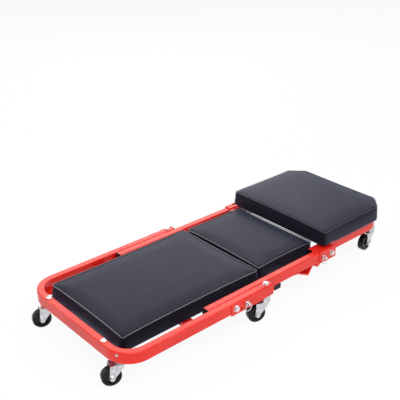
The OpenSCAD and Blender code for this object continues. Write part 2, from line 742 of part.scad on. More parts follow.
module fork_foot_near() fork(near(foot_stem), -park_swivel);
module fork_foot_far() fork(foot_stem, -park_swivel);
module fork_mid_near() fork(near(mid_stem), -park_swivel);
module fork_mid_far() fork(mid_stem, park_swivel);
module fork_seat_near() fork(near(seat_stem), end_swivel);
module fork_seat_far() fork(seat_stem, -end_swivel);
module wheel_foot_near() wheel(near(foot_stem), -park_swivel);
module wheel_foot_far() wheel(foot_stem, -park_swivel);
module wheel_mid_near() wheel(near(mid_stem), -park_swivel);
module wheel_mid_far() wheel(mid_stem, park_swivel);
module wheel_seat_near() wheel(near(seat_stem), end_swivel);
module wheel_seat_far() wheel(seat_stem, -end_swivel);
module axle_foot_near() axle(near(foot_stem), -park_swivel);
module axle_foot_far() axle(foot_stem, -park_swivel);
module axle_mid_near() axle(near(mid_stem), -park_swivel);
module axle_mid_far() axle(mid_stem, park_swivel);
module axle_seat_near() axle(near(seat_stem), end_swivel);
module axle_seat_far() axle(seat_stem, -end_swivel);
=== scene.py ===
"""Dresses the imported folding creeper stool: pads, seams, welds, finishes, light and camera."""

import json
import logging
import math
from dataclasses import dataclass, field
from enum import Enum
from typing import Callable, Iterable, NamedTuple, Sequence

import bmesh
import bpy
from mathutils import Matrix, Vector


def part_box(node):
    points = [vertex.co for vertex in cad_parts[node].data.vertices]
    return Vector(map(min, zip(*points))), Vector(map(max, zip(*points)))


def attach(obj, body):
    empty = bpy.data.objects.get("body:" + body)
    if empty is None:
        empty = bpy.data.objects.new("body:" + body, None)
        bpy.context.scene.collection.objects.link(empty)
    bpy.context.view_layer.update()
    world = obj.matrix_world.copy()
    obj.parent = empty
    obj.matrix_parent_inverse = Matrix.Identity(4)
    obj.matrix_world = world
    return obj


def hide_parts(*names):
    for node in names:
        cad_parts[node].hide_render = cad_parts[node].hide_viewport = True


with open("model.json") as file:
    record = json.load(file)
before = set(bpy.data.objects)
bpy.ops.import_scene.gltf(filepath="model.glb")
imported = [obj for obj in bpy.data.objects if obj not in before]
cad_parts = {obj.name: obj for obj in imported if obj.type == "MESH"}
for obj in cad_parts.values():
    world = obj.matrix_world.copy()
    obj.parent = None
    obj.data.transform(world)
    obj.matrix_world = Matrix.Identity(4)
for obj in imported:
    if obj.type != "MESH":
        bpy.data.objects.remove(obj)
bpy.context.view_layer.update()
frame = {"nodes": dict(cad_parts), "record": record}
LOG = logging.getLogger("creeper")
Point = tuple[float, float, float]
Span = tuple[float, float]

# cosines above and below which a direction counts as along or across an axis
ALONG = 0.9
ACROSS = 0.1
# how close, in metres, a place is to a plane that it counts as on
ON_PLANE = 1e-4
ON_RING = 1e-5


class Body(str, Enum):
    """The rigid bodies that new pieces ride on."""

    BASE = "base"
    MIDDLE = "middle"
    SEAT = "seat"


class Finish(str, Enum):
    """The finishes: the record's material slots, and the two seams, one lighter as a painted
    highlight and one dull in the cover's own dark colour.
    """

    RED_PAINT = "red_paint"
    VINYL = "vinyl"
    SEAM = "seam"
    DULL_SEAM = "dull_seam"
    BOARD = "board"
    BLACK_PLASTIC = "black_plastic"
    WHEEL_BLACK = "wheel_black"
    ZINC = "zinc"
    BOLT_CHROME = "bolt_chrome"
    PIN_STEEL = "pin_steel"


class Element(str, Enum):
    """What a selection in edit mode is made of."""

    VERT = "VERT"
    EDGE = "EDGE"
    FACE = "FACE"


class Pattern(NamedTuple):
    """A noise: cells per metre, octaves, strength of the fine octaves, factors on the axes."""

    scale: float
    detail: float = 3.0
    rough: float = 0.5
    stretch: Point = (1.0, 1.0, 1.0)


class Relief(NamedTuple):
    """How strongly a pattern stands out, 0 to 1, and its depth in metres."""

    strength: float
    depth: float


class Graph:
    """Builds one node material on a Principled shader."""

    noise_span: Span = (0.25, 0.75)
    edge_samples: int = 4

    def __init__(self, name: str, rough: Span, metallic: float = 0.0) -> None:
        """Starts the material.

        Args:
            name: material name.
            rough: lowest and highest roughness.
            metallic: 0 for paint and plastic, 1 for bare metal.
        """
        self.material = bpy.data.materials.new(name)
        self.material.use_nodes = True
        self.tree = self.material.node_tree
        self.shader = self.tree.nodes["Principled BSDF"]
        self.rough = rough
        self.shader.inputs["Roughness"].default_value = sum(rough) / 2
        self.shader.inputs["Metallic"].default_value = metallic
        self.place = self.tree.nodes.new("ShaderNodeTexCoord").outputs["Object"]
        self.edge: bpy.types.NodeSocket | None = None

    def soften_edges(self, radius: float) -> None:
        """Lets sharp pressed and cut edges catch the light.

        Args:
            radius: how far from an edge, in metres.
        """
        node = self.tree.nodes.new("ShaderNodeBevel")
        node.samples = self.edge_samples
        node.inputs["Radius"].default_value = radius
        self.edge = node.outputs["Normal"]

    def noise(self, pattern: Pattern) -> bpy.types.NodeSocket:
        """Adds a noise in object coordinates.

        Args:
            pattern: the noise.

        Returns:
            The value socket, 0 to 1.
        """
        mapping = self.tree.nodes.new("ShaderNodeMapping")
        mapping.inputs["Scale"].default_value = pattern.stretch
        self.tree.links.new(self.place, mapping.inputs["Vector"])
        node = self.tree.nodes.new("ShaderNodeTexNoise")
        node.inputs["Scale"].default_value = pattern.scale
        node.inputs["Detail"].default_value = pattern.detail
        node.inputs["Roughness"].default_value = pattern.rough
        self.tree.links.new(mapping.outputs["Vector"], node.inputs["Vector"])
        return node.outputs["Fac"]

    def cells(self, scale: float) -> bpy.types.NodeSocket:
        """Adds a cell pattern in object coordinates.

        Args:
            scale: cells per metre.

        Returns:
            The socket of the distance to a cell's centre.
        """
        node = self.tree.nodes.new("ShaderNodeTexVoronoi")
        node.inputs["Scale"].default_value = scale
        self.tree.links.new(self.place, node.inputs["Vector"])
        return node.outputs["Distance"]

    def colour(self, value: bpy.types.NodeSocket, stops: Sequence[float],
               colours: Sequence[Point]) -> None:
        """Drives the base colour by a ramp.

        Args:
            value: factor socket.
            stops: positions on the ramp, rising.
            colours: the linear colour at each stop.
        """
        ramp = self.tree.nodes.new("ShaderNodeValToRGB")
        first, last = ramp.color_ramp.elements
        first.position, first.color = stops[0], (*colours[0], 1.0)
        last.position, last.color = stops[-1], (*colours[-1], 1.0)
        for position, rgb in zip(stops[1:-1], colours[1:-1]):
            ramp.color_ramp.elements.new(position).color = (*rgb, 1.0)
        self.tree.links.new(value, ramp.inputs["Fac"])
        self.tree.links.new(ramp.outputs["Color"], self.shader.inputs["Base Color"])

    def roughness(self, value: bpy.types.NodeSocket) -> None:
        """Varies the roughness between its lowest and its highest.

        Args:
            value: 0 to 1 socket.
        """
        node = self.tree.nodes.new("ShaderNodeMapRange")
        for key, number in zip(("From Min", "From Max", "To Min", "To Max"),
                               (*self.noise_span, *self.rough)):
            node.inputs[key].default_value = number
        self.tree.links.new(value, node.inputs["Value"])
        self.tree.links.new(node.outputs["Result"], self.shader.inputs["Roughness"])

    def bump(self, layers: Iterable[tuple[bpy.types.NodeSocket, Relief]]) -> None:
        """Adds bump layers, one on top of the other.

        Args:
            layers: pairs of a height socket and its relief.
        """
        normal = self.edge
        for height, relief in layers:
            node = self.tree.nodes.new("ShaderNodeBump")
            node.inputs["Strength"].default_value = relief.strength
            node.inputs["Distance"].default_value = relief.depth
            self.tree.links.new(height, node.inputs["Height"])
            if normal is not None:
                self.tree.links.new(normal, node.inputs["Normal"])
            normal = node.outputs["Normal"]
        self.tree.links.new(normal, self.shader.inputs["Normal"])

    def set(self, **values: float | Point) -> None:
        """Sets plain shader sockets.

        Args:
            values: a number or a colour each, named by its socket with _ for the spaces.
        """
        for key, value in values.items():
            if isinstance(value, tuple):
                value = (*value, 1.0)
            self.shader.inputs[key.replace("_", " ")].default_value = value


@dataclass(frozen=True)
class RedPowderCoat:
    """Gloss red powder coat with a faint orange peel."""

    name: str = "red_powder_coat"
    deep: Point = (0.68, 0.008, 0.006)
    base: Point = (0.76, 0.012, 0.008)
    light: Point = (0.82, 0.020, 0.013)
    stops: Point = (0.3, 0.5, 0.72)
    rough: Span = (0.30, 0.42)
    edge: float = 0.0012
    cloud: Pattern = Pattern(9.0, 2.0)
    rub: Pattern = Pattern(30.0)
    peel: Pattern = Pattern(620.0, 2.0)
    peel_relief: Relief = Relief(0.10, 0.0004)
    powder: Pattern = Pattern(2600.0, 2.0)
    powder_relief: Relief = Relief(0.05, 0.0002)
    coat: float = 0.25
    coat_rough: float = 0.16
    specular: float = 0.4
    specular_tint: Point = (1.0, 0.72, 0.52)

    def build(self) -> bpy.types.Material:
        """Builds the finish.

        Returns:
            The material.
        """
        g = Graph(self.name, self.rough)
        g.soften_edges(self.edge)
        g.colour(g.noise(self.cloud), self.stops, (self.deep, self.base, self.light))
        g.roughness(g.noise(self.rub))
        g.bump([(g.noise(self.peel), self.peel_relief),
                (g.noise(self.powder), self.powder_relief)])
        g.set(Coat_Weight=self.coat, Coat_Roughness=self.coat_rough,
              Specular_IOR_Level=self.specular, Specular_Tint=self.specular_tint)
        return g.material


@dataclass(frozen=True)
class BlackVinyl:
    """Black pad cover with a fine leather grain and a soft sheen."""

    name: str = "black_vinyl"
    deep: Point = (0.0025, 0.0025, 0.0042)
    base: Point = (0.004, 0.004, 0.0065)
    light: Point = (0.0065, 0.0065, 0.010)
    stops: Point = (0.3, 0.52, 0.75)
    rough: Span = (0.36, 0.48)
    cloud: Pattern = Pattern(14.0, 4.0, 0.6)
    rub: Pattern = Pattern(120.0, 4.0, 0.6)
    dimples: Pattern = Pattern(26.0, 2.0)
    dimple_relief: Relief = Relief(0.10, 0.0016)
    leather: float = 900.0
    leather_relief: Relief = Relief(0.16, 0.0003)
    pores: Pattern = Pattern(2400.0)
    pore_relief: Relief = Relief(0.10, 0.00015)
    sheen: float = 0.42
    sheen_rough: float = 0.40
    sheen_tint: Point = (0.54, 0.57, 0.95)
    index: float = 1.5
    specular: float = 0.13
    specular_tint: Point = (0.56, 0.62, 1.0)

    def build(self) -> bpy.types.Material:
        """Builds the finish.

        Returns:
            The material.
        """
        g = Graph(self.name, self.rough)
        g.colour(g.noise(self.cloud), self.stops, (self.deep, self.base, self.light))
        g.roughness(g.noise(self.rub))
        g.bump([(g.noise(self.dimples), self.dimple_relief),
                (g.cells(self.leather), self.leather_relief),
                (g.noise(self.pores), self.pore_relief)])
        g.set(Sheen_Weight=self.sheen, Sheen_Roughness=self.sheen_rough,
              Sheen_Tint=self.sheen_tint, IOR=self.index,
              Specular_IOR_Level=self.specular, Specular_Tint=self.specular_tint)
        return g.material


@dataclass(frozen=True)
class SeamVinyl:
    """The same vinyl pulled tight over a seam, smoother and glossier. Its colour is a painted
    highlight: lighter than the cover, so the welt shows as a light line, with a random lighter
    and darker tone over it.
    """

    name: str = "seam_vinyl"
    # painted highlight: these colours are about three times lighter than the cover's, so the
    # welt reads as a light line along the top edge
    base: Point = (0.012, 0.014, 0.021)
    light: Point = (0.024, 0.028, 0.040)
    stops: Span = (0.35, 0.7)
    rough: Span = (0.24, 0.36)
    cloud: Pattern = Pattern(40.0)
    rub: Pattern = Pattern(90.0)
    grain: Pattern = Pattern(900.0)
    grain_relief: Relief = Relief(0.12, 0.0003)
    coat: float = 0.6
    coat_rough: float = 0.12
    index: float = 1.6

    def build(self) -> bpy.types.Material:
        """Builds the finish.

        Returns:
            The material.
        """
        g = Graph(self.name, self.rough)
        g.colour(g.noise(self.cloud), self.stops, (self.base, self.light))
        g.roughness(g.noise(self.rub))
        g.bump([(g.noise(self.grain), self.grain_relief)])
        g.set(Coat_Weight=self.coat, Coat_Roughness=self.coat_rough, IOR=self.index)
        return g.material


@dataclass(frozen=True)
class ZincPlate:
    """Bright zinc on pressed steel, with a soft spangle."""

    name: str = "zinc_plate"
    dark: Point = (0.40, 0.41, 0.43)
    base: Point = (0.60, 0.61, 0.63)
    light: Point = (0.76, 0.77, 0.79)
    stops: Point = (0.3, 0.5, 0.7)
    rough: Span = (0.24, 0.40)
    edge: float = 0.0006
    spangle: Pattern = Pattern(160.0, 4.0, 0.6)
    rub: Pattern = Pattern(420.0)
    grain: Pattern = Pattern(900.0)
    grain_relief: Relief = Relief(0.08, 0.0002)

    def build(self) -> bpy.types.Material:
        """Builds the finish.

        Returns:
            The material.
        """
        g = Graph(self.name, self.rough, metallic=1.0)
        g.soften_edges(self.edge)
        g.colour(g.noise(self.spangle), self.stops, (self.dark, self.base, self.light))
        g.roughness(g.noise(self.rub))
        g.bump([(g.noise(self.grain), self.grain_relief)])
        return g.material


@dataclass(frozen=True)
class BoltPlate:
    """Bright plated bolt heads."""

    name: str = "bright_bolt"
    dark: Point = (0.60, 0.61, 0.64)
    base: Point = (0.78, 0.79, 0.81)
    stops: Span = (0.3, 0.6)
    rough: Span = (0.12, 0.24)
    cloud: Pattern = Pattern(300.0, 2.0)
    rub: Pattern = Pattern(700.0)
    grain: Pattern = Pattern(1500.0, 2.0)
    grain_relief: Relief = Relief(0.05, 0.0001)

    def build(self) -> bpy.types.Material:
        """Builds the finish.

        Returns:
            The material.
        """
        g = Graph(self.name, self.rough, metallic=1.0)
        g.colour(g.noise(self.cloud), self.stops, (self.dark, self.base))
        g.roughness(g.noise(self.rub))
        g.bump([(g.noise(self.grain), self.grain_relief)])
        return g.material


@dataclass(frozen=True)
class TurnedSteel:
    """Turned lock pins and spring wire, with fine rings from the lathe."""

    name: str = "turned_steel"
    base: Point = (0.55, 0.56, 0.58)
    light: Point = (0.72, 0.73, 0.75)
    stops: Span = (0.35, 0.65)
    rough: Span = (0.18, 0.32)
    cloud: Pattern = Pattern(200.0)
    rings: Pattern = Pattern(1400.0, 1.0, 0.4, (0.05, 1.0, 0.05))
    ring_relief: Relief = Relief(0.10, 0.0001)

    def build(self) -> bpy.types.Material:
        """Builds the finish.

        Returns:
            The material.
        """
        g = Graph(self.name, self.rough, metallic=1.0)
        rings = g.noise(self.rings)
        g.colour(g.noise(self.cloud), self.stops, (self.base, self.light))
        g.roughness(rings)
        g.bump([(rings, self.ring_relief)])
        return g.material


@dataclass(frozen=True)
class MouldedBlack:
    """Moulded black plastic: the tube plugs, and with a smoother mould the wheels."""

    name: str = "black_plug"
    base: Point = (0.0035, 0.0035, 0.0045)
    light: Point = (0.008, 0.008, 0.009)
    stops: Span = (0.35, 0.72)
    rough: Span = (0.43, 0.60)
    cloud: Pattern = Pattern(60.0, 4.0, 0.6)
    rub: Pattern = Pattern(150.0, 4.0)
    grain: Pattern = Pattern(1800.0)
    grain_relief: Relief = Relief(0.12, 0.0002)
    specular: float = 0.22

    def build(self) -> bpy.types.Material:
        """Builds the finish.

        Returns:
            The material.
        """
        g = Graph(self.name, self.rough)
        g.colour(g.noise(self.cloud), self.stops, (self.base, self.light))
        g.roughness(g.noise(self.rub))
        g.bump([(g.noise(self.grain), self.grain_relief)])
        g.set(Specular_IOR_Level=self.specular)
        return g.material


@dataclass(frozen=True)
class Hardboard:
    """Dark fibre board under the pads."""

    name: str = "dark_hardboard"
    dark: Point = (0.020, 0.015, 0.011)
    light: Point = (0.048, 0.036, 0.026)
    stops: Span = (0.3, 0.7)
    rough: Span = (0.68, 0.86)
    rub: Pattern = Pattern(80.0)
    fibres: Pattern = Pattern(220.0, 5.0, 0.7, (0.35, 1.0, 1.0))
    fibre_relief: Relief = Relief(0.35, 0.0004)

    def build(self) -> bpy.types.Material:
        """Builds the finish.

        Returns:
            The material.
        """
        g = Graph(self.name, self.rough)
        fibres = g.noise(self.fibres)
        g.colour(fibres, self.stops, (self.dark, self.light))
        g.roughness(g.noise(self.rub))
        g.bump([(fibres, self.fibre_relief)])
        return g.material


def white_rays(tree: bpy.types.NodeTree) -> bpy.types.NodeSocket:
    """Finds the rays that see a backdrop as white.

    Args:
        tree: node tree of the floor or of the world.

    Returns:
        A socket that is 1 for camera, glossy and transmission rays, else 0.
    """
    path = tree.nodes.new("ShaderNodeLightPath")
    seen = path.outputs["Is Camera Ray"]
    for ray in ("Is Glossy Ray", "Is Transmission Ray"):
        either = tree.nodes.new("ShaderNodeMath")
        either.operation = "MAXIMUM"
        tree.links.new(seen, either.inputs[0])
        tree.links.new(path.outputs[ray], either.inputs[1])
        seen = either.outputs[0]
    return seen


@dataclass(frozen=True)
class StudioFloor:
    """White studio floor: white to the camera, plain pale floor to the light."""

    name: str = "studio_floor"
    tone: Point = (0.94, 0.94, 0.94)
    lighter: float = 1.01
    stops: Span = (0.3, 0.7)
    rough: float = 0.9
    cloud: Pattern = Pattern(2.0, 2.0)
    camera_mix: float = 0.92
    white: float = 1.0

    def build(self) -> bpy.types.Material:
        """Builds the finish.

        Returns:
            The material.
        """
        g = Graph(self.name, (self.rough, self.rough))
        g.colour(g.noise(self.cloud), self.stops,
                 (self.tone, tuple(part * self.lighter for part in self.tone)))
        tree = g.tree
        glow = tree.nodes.new("ShaderNodeEmission")
        glow.inputs["Strength"].default_value = self.white
        mix = tree.nodes.new("ShaderNodeMixShader")
        share = tree.nodes.new("ShaderNodeMath")
        share.operation = "MULTIPLY"
        share.inputs[1].default_value = self.camera_mix
        tree.links.new(white_rays(tree), share.inputs[0])
        tree.links.new(share.outputs[0], mix.inputs["Fac"])
        tree.links.new(g.shader.outputs[0], mix.inputs[1])
        tree.links.new(glow.outputs[0], mix.inputs[2])
        tree.links.new(mix.outputs[0], tree.nodes["Material Output"].inputs["Surface"])
        return g.material


def clear_selection() -> None:
    """Deselects every object, and leaves edit mode first."""
    if bpy.context.object is not None and bpy.context.object.mode != "OBJECT":
        bpy.ops.object.mode_set(mode="OBJECT")
    bpy.ops.object.select_all(action="DESELECT")


def only(obj: bpy.types.Object) -> None:
    """Makes one object the selected and active one.

    Args:
        obj: the object.
    """
    clear_selection()
    obj.select_set(True)
    bpy.context.view_layer.objects.active = obj


def settle(obj: bpy.types.Object) -> None:
    """Puts the object's place, turn and scale into its mesh."""
    only(obj)
    bpy.ops.object.transform_apply(location=True, rotation=True, scale=True)


def pick(obj: bpy.types.Object, kind: Element,
         test: Callable[[Vector, Vector], bool]) -> None:
    """Selects vertices, edges or faces of the active mesh by a test.

    Args:
        obj: the object, in edit mode.
        kind: what is selected.
        test: gets the centre, and the normal or the edge direction.
    """
    bpy.ops.mesh.select_mode(type=kind.value)
    bpy.ops.mesh.select_all(action="DESELECT")
    mesh = bmesh.from_edit_mesh(obj.data)
    if kind is Element.VERT:
        chosen = [v for v in mesh.verts if test(v.co, v.normal)]
    elif kind is Element.EDGE:
        chosen = [e for e in mesh.edges
                  if test((e.verts[0].co + e.verts[1].co) / 2,
                          (e.verts[1].co - e.verts[0].co).normalized())]
    else:
        chosen = [f for f in mesh.faces if test(f.calc_center_median(), f.normal)]
    for item in chosen:
        item.select_set(True)
    if kind is Element.VERT:
        mesh.select_flush(True)
    bmesh.update_edit_mesh(obj.data)


def modify(obj: bpy.types.Object, kind: str, **settings: object) -> None:
    """Adds one modifier with its settings and applies it.

    Args:
        obj: the object.
        kind: modifier type.
        settings: modifier properties.
    """
    only(obj)
    bpy.ops.object.modifier_add(type=kind)
    modifier = obj.modifiers[-1]
    for key, value in settings.items():
        setattr(modifier, key, value)
    bpy.ops.object.modifier_apply(modifier=modifier.name)


def smooth(obj: bpy.types.Object, angle: float) -> None:
    """Shades the mesh smooth below an angle in degrees."""
    only(obj)
    bpy.ops.object.shade_smooth_by_angle(angle=math.radians(angle))


def dress(obj: bpy.types.Object, material: bpy.types.Material) -> None:
    """Gives every slot of an object one material.

    Args:
        obj: the object.
        material: the material.
    """
    if not obj.data.materials:
        obj.data.materials.append(material)
    for index in range(len(obj.data.materials)):
        obj.data.materials[index] = material


def clamp(value: float, low: float, high: float) -> float:
    """Returns the value, kept between two limits."""
    return min(high, max(low, value))


@dataclass
class Pad:
    """One upholstered pad: a firm crowned cushion with a welt round its top edge.

    Lengths are in metres. A pad with a sag has a free lower edge that hangs past its board,
    clear of the hinge corners.
    """

    name: str
    node: str
    body: Body
    # the block: insets of its floor and top edge, corners in plan, rounded edges
    floor_in: float = 0.0004
    top_in: float = 0.0022
    corner: float = 0.006
    corner_steps: int = 5
    cut: float = 0.0
    top_round: float = 0.0022
    floor_round: float = 0.003
    round_steps: int = 2
    # the covered form: crowned top, drooping corners, sides drawn in
    crown: float = 0.004
    crown_power: float = 2.4
    droop: float = 0.0022
    droop_power: int = 8
    draw: float = 0.0035
    # the free lower edge: its drop, its board's inset, the part of that inset over which the
    # drop comes on, and the hinge corner that it stays clear of
    sag: float = 0.0
    board_in: float = 0.014
    hang_part: int = 3
    hinge_length: float = 0.047
    hinge_half: float = 0.170
    # the cloth: voxel size, rows of voxels held at board, seam and rim, the most it may puff
    voxel: float = 0.0045
    board_rows: float = 1.2
    seam_rows: float = 0.9
    rim_rows: float = 1.3
    puff: float = 0.002
    pressure: float = 4.0
    stiffness: float = 30.0
    bending: float = 1.0
    cloth_quality: int = 5
    frames: int = 20
    # smoothing after the cloth
    relax_steps: int = 2
    relax: float = 0.35
    cover_angle: float = 50.0
    # the welt: its bead, and how far down the rounded top edge it sits
    welt_radius: float = 0.0015
    welt_cuts: int = 23
    welt_angle: float = 60.0
    shoulder: float = 0.28
    straight: float = 0.9999
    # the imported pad's box, read when the pad is built
    low: Vector = field(default_factory=Vector)
    high: Vector = field(default_factory=Vector)

    @property
    def top(self) -> float:
        """Height of the block's flat top before its crown."""
        return self.high.z - self.crown

    @property
    def middle(self) -> Vector:
        """Centre of the pad's box in plan, at the middle of the block's height."""
        return Vector(((self.low.x + self.high.x) / 2, 0.0, (self.top + self.low.z) / 2))

    def block(self) -> bpy.types.Object:
        """Models the firm block that the cover is pulled over.

        Returns:
            The block, closed and chamfered.
        """
        size = (self.high.x - self.low.x - 2 * self.floor_in,
                self.high.y - self.low.y - 2 * self.floor_in, self.top - self.low.z)
        middle = self.middle
        clear_selection()
        bpy.ops.mesh.primitive_cube_add(size=1, location=middle, scale=size)
        obj = bpy.context.object
        obj.name = obj.data.name = self.name
        settle(obj)
        bpy.ops.object.mode_set(mode="EDIT")
        pick(obj, Element.FACE, lambda c, n: n.z > ALONG)
        lean = 2 * (self.top_in - self.floor_in)
        bpy.ops.transform.resize(value=(1 - lean / size[0], 1 - lean / size[1], 1),
                                 center_override=middle)
        if self.cut:
            pick(obj, Element.EDGE, lambda c, d: abs(d.z) > ALONG and c.x > middle.x)
            bpy.ops.mesh.bevel(offset=self.cut, segments=1)
        pick(obj, Element.EDGE, lambda c, d: abs(d.z) > ALONG)
        bpy.ops.mesh.bevel(offset=self.corner, segments=self.corner_steps)
        pick(obj, Element.EDGE, lambda c, d: abs(d.z) < ACROSS and c.z > self.top - ON_PLANE)
        bpy.ops.mesh.bevel(offset=self.top_round, segments=self.round_steps)
        pick(obj, Element.EDGE, lambda c, d: abs(d.z) < ACROSS and c.z < self.low.z + ON_PLANE)
        bpy.ops.mesh.bevel(offset=self.floor_round, segments=self.round_steps)
        bpy.ops.object.mode_set(mode="OBJECT")
        return obj

    def fill(self, obj: bpy.types.Object) -> None:
        """Remeshes the block, fills it by cloth pressure and settles its form.

        Args:
            obj: the block.
        """
        modify(obj, "REMESH", mode="VOXEL", voxel_size=self.voxel, use_smooth_shade=True)
        rest = [v.co.copy() for v in obj.data.vertices]
        self.inflate(obj)
        for v, start in zip(obj.data.vertices, rest):
            move = v.co - start
            if move.length > self.puff:
                move *= self.puff / move.length
            v.co = self.settled(start) + move
        modify(obj, "SMOOTH", iterations=self.relax_steps, factor=self.relax)
        modify(obj, "SUBSURF", levels=1, render_levels=1)
        smooth(obj, self.cover_angle)

    def inflate(self, obj: bpy.types.Object) -> None:
        """Lets cloth pressure fill the cover, held along its board and its welt.

        Args:
            obj: the remeshed block.
        """
        group = obj.vertex_groups.new(name="held")
        board = self.low.z + self.voxel * self.board_rows
        seam = self.top - self.voxel * self.seam_rows
        rim = self.voxel * self.rim_rows
        held = [v.index for v in obj.data.vertices
                if v.co.z < board or (v.co.z > seam and self.inside(v.co) < rim)]
        group.add(held, 1.0, "REPLACE")
        only(obj)
        bpy.ops.object.modifier_add(type="CLOTH")
        cloth = obj.modifiers[-1]
        cloth.settings.use_pressure = True
        cloth.settings.uniform_pressure_force = self.pressure
        cloth.settings.effector_weights.gravity = 0.0
        cloth.settings.quality = self.cloth_quality
        cloth.settings.vertex_group_mass = group.name
        cloth.settings.tension_stiffness = self.stiffness
        cloth.settings.compression_stiffness = self.stiffness
        cloth.settings.bending_stiffness = self.bending
        scene = bpy.context.scene
        for step in range(1, self.frames + 1):
            scene.frame_set(step)
        bpy.ops.object.modifier_apply(modifier=cloth.name)
        scene.frame_set(1)

    def inside(self, co: Vector) -> float:
        """Measures how far a point lies inside the top edge's outline.

        Args:
            co: place in the straight block.

        Returns:
            The distance in plan, in metres.
        """
        depth = min(co.x - self.low.x, self.high.x - co.x,
                    co.y - self.low.y, self.high.y - co.y) - self.top_in
        if self.cut:
            slant = self.high.x - co.x + self.high.y - abs(co.y) - 2 * self.top_in - self.cut
            depth = min(depth, slant / math.sqrt(2))
        return depth

    def hang(self, co: Vector) -> float:
        """Gives how far the cover's free lower edge hangs past its board.

        Args:
            co: place in the straight block.

        Returns:
            The drop in metres, nothing over the board and over the hinge corners.
        """
        if not self.sag:
            return 0.0
        free = (self.board_in - self.inside(co) - self.top_in) / (self.board_in / self.hang_part)
        past_hinge = (co.x - self.low.x - self.hinge_length) / self.board_in
        between = (self.hinge_half - abs(co.y)) / self.board_in
        return self.sag * clamp(min(free, max(past_hinge, between)), 0.0, 1.0)

    def settled(self, co: Vector) -> Vector:
        """Gives the place of a point once the pad is covered.

        The sides run straight along the board and draw in between the corners above it,
        the top crowns, the corners droop and a free lower edge hangs.

        Args:
            co: place in the straight block.

        Returns:
            Place in the covered pad.
        """
        half = (self.high - self.low) / 2
        u = clamp((co.x - self.low.x) / half.x - 1, -1.0, 1.0)
        w = clamp((co.y - self.low.y) / half.y - 1, -1.0, 1.0)
        up = clamp((co.z - self.low.z) / (self.top - self.low.z), 0.0, 1.0)
        rise = ((self.crown - self.puff) * (1 - abs(u) ** self.crown_power)
                * (1 - abs(w) ** self.crown_power))
        rise -= self.droop * abs(u * w) ** self.droop_power
        hang = self.hang(co) * (1 - up) ** 2
        return Vector((co.x - u * up * self.draw * (1 - w * w),
                       co.y - w * up * self.draw * (1 - u * u),
                       co.z + rise * up * up - hang))

    def welt(self) -> bpy.types.Object:
        """Builds the round welt along the top edge.

        Returns:
            The welt as one closed bead.
        """
        sink = self.shoulder * self.top_round
        inset = self.top_in + sink / 2
        middle = self.middle
        clear_selection()
        bpy.ops.mesh.primitive_plane_add(size=1, location=(middle.x, 0, self.top - sink))
        obj = bpy.context.object
        obj.name = obj.data.name = self.name + "_welt"
        obj.scale = (self.high.x - self.low.x - 2 * inset,
                     self.high.y - self.low.y - 2 * inset, 1)
        settle(obj)
        bpy.ops.object.mode_set(mode="EDIT")
        if self.cut:
            pick(obj, Element.VERT, lambda c, n: c.x > middle.x)
            bpy.ops.mesh.bevel(offset=self.cut, segments=1, affect="VERTICES")
        pick(obj, Element.VERT, lambda c, n: True)
        bpy.ops.mesh.bevel(offset=self.corner, segments=self.corner_steps, affect="VERTICES")
        bpy.ops.mesh.select_all(action="SELECT")
        bpy.ops.mesh.delete(type="ONLY_FACE")
        pick(obj, Element.EDGE, lambda c, d: max(abs(d.x), abs(d.y)) > self.straight)
        bpy.ops.mesh.subdivide(number_cuts=self.welt_cuts)
        bpy.ops.object.mode_set(mode="OBJECT")
        for v in obj.data.vertices:
            v.co = self.settled(v.co)
        only(obj)
        bpy.ops.object.convert(target="CURVE")
        obj.data.bevel_depth = self.welt_radius
        obj.data.bevel_resolution = self.round_steps
        bpy.ops.object.convert(target="MESH")
        smooth(obj, self.welt_angle)
        return obj

    def build(self, cover: bpy.types.Material, seam: bpy.types.Material) -> None:
        """Args:
            cover: cover material.
            seam: material of the welt.
        """
        self.low, self.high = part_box(self.node)
        cushion = self.block()
        self.fill(cushion)
        welt = self.welt()
        for piece, material in ((cushion, cover), (welt, seam)):
            dress(piece, material)
            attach(piece, self.body.value)
        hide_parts(self.node)
        LOG.info("%s: %d faces, welt %d faces", self.name, len(cushion.data.polygons),
                 len(welt.data.polygons))


